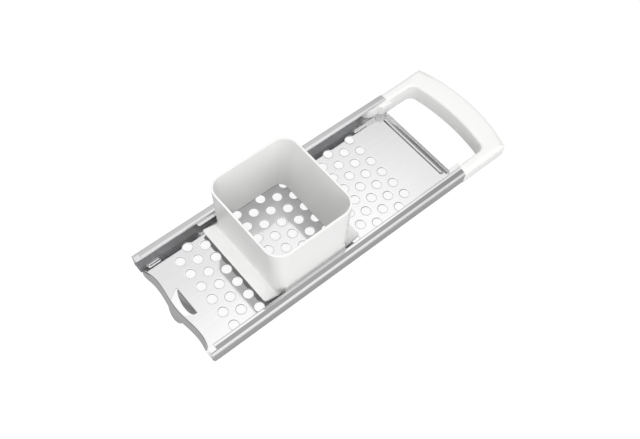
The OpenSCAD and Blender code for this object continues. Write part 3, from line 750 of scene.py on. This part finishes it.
make_piece("batter_hopper", [hopper_wall(), ramp(1), ramp(-1)] + runner() + mirrored(runner()),
           "hopper", "hopper_plastic", ["hopper"], 35)


# ------------------------------------------------------------------ table, light and camera
def table_plane(name, drop, base, glow):
    """A large level square just below the object, which glows by itself and is lit as well."""
    half, low = 6.0, cad_bounds[0][2] - drop
    mesh = bpy.data.meshes.new(name)
    corners = [(-half, -half, low), (half, -half, low), (half, half, low), (-half, half, low)]
    mesh.from_pydata(corners, [], [(0, 1, 2, 3)])
    table = bpy.data.objects.new(name, mesh)
    bpy.context.scene.collection.objects.link(table)
    mat, _, shader = new_material(name)
    shader.inputs["Base Color"].default_value = hex_colour(base)
    shader.inputs["Roughness"].default_value = 0.9
    shader.inputs["Specular IOR Level"].default_value = 0.0
    shader.inputs["Emission Color"].default_value = (1, 1, 1, 1)
    shader.inputs["Emission Strength"].default_value = glow
    mesh.materials.append(mat)
    return table


def soft_panel(name, size, energy, spot):
    """A round area light that points at the object and isn't mirrored in its steel."""
    lamp = bpy.data.lights.new(name, "AREA")
    lamp.shape, lamp.size, lamp.energy = "DISK", size, energy
    panel = bpy.data.objects.new(name, lamp)
    turn = spot.to_track_quat("Z", "Y").to_matrix().to_4x4()
    panel.matrix_world = Matrix.Translation(spot) @ turn
    panel.visible_glossy = False
    bpy.context.scene.collection.objects.link(panel)


def soft_edge(tree, way, toward, start, end, low, high):
    """A value that goes from low to high on a smooth step as the room's direction turns
    towards a given one: start and end are cosines of the angle between the two."""
    dot = add_node(tree, "ShaderNodeVectorMath", {"operation": "DOT_PRODUCT", 1: toward}, {0: way})
    return ramp_value(tree, dot.outputs["Value"], start, end, low, high, "SMOOTHSTEP")


def white_room():
    """The room that the steel mirrors: a large soft panel behind the bed (+Y) and a weaker one
    on its right (-Y), multiplied by shades that darken the middle of the large panel, the
    handle's end and a patch high over the near end."""
    world = bpy.data.worlds.new("white_room")
    bpy.context.scene.world = world
    world.use_nodes = True
    tree = world.node_tree
    way = add_node(tree, "ShaderNodeTexCoord").outputs["Generated"]
    rear_panel = soft_edge(tree, way, (0, 1, 0), 0.05, 0.3, 0.54, 1.45)
    right_panel = soft_edge(tree, way, (0, -1, 0), 0.15, 0.4, 0.0, 0.75)
    light = combine(tree, "ADD", rear_panel, right_panel)
    for toward, start, end, left in (((0, 1, 0), 0.33, 0.45, 0.77), ((0, 1, 0), 0.5, 0.66, 0.75),
                                     ((1, 0, 0), 0.4, 0.5, 0.8), ((-0.75, 0.05, 0.66), 0.55, 0.95, 0.25),
                                     ((1, 0, 0), 0.5, 0.86, 0.22)):
        light = combine(tree, "MULTIPLY", light, soft_edge(tree, way, toward, start, end, 1.0, left))
    back = tree.nodes["Background"]
    back.inputs["Color"].default_value = (1, 1, 1, 1)
    tree.links.new(light, back.inputs["Strength"])


def studio():
    """A table in two layers: a bright cloth that only the lens sees, and just under it a
    duller top that only the steel and the plastic see. Two round lamps light the object: one
    overhead and a weaker one that fills its near side."""
    cloth = table_plane("table_cloth", 0.0, "#8a8a8a", 0.87)
    for ray in ("diffuse", "glossy", "transmission", "shadow"):
        setattr(cloth, "visible_" + ray, False)
    table_plane("table_top", 0.0001, "#aeaeae", 0.12).visible_camera = False
    soft_panel("overhead_softbox", 1.6, 9.8, Vector((-0.6, 0.1, 1.75)))
    soft_panel("near_fill", 1.0, 3.6, Vector((-0.5, -1.0, 0.6)))
    white_room()


def camera():
    """The photograph's viewpoint: its right, up and back directions, and 50.6 mm on 36 mm."""
    data = bpy.data.cameras.new("camera")
    data.sensor_fit, data.sensor_width, data.lens = "HORIZONTAL", 36.0, 50.637
    data.clip_start, data.clip_end = 0.01, 50
    cam = bpy.data.objects.new("camera", data)
    right, up, back = (0.76636, -0.64106, 0.04167), (0.53108, 0.66871, 0.52038), (-0.36146, -0.37666, 0.85292)
    turn = Matrix((right, up, back)).transposed()
    spot = shift_to_frame([-124.87, -284.19, 626.84])
    cam.matrix_world = Matrix.Translation(Vector(spot)) @ turn.to_4x4()
    bpy.context.scene.collection.objects.link(cam)
    bpy.context.scene.camera = cam


studio()
camera()
bpy.context.scene.view_settings.view_transform = "Standard"
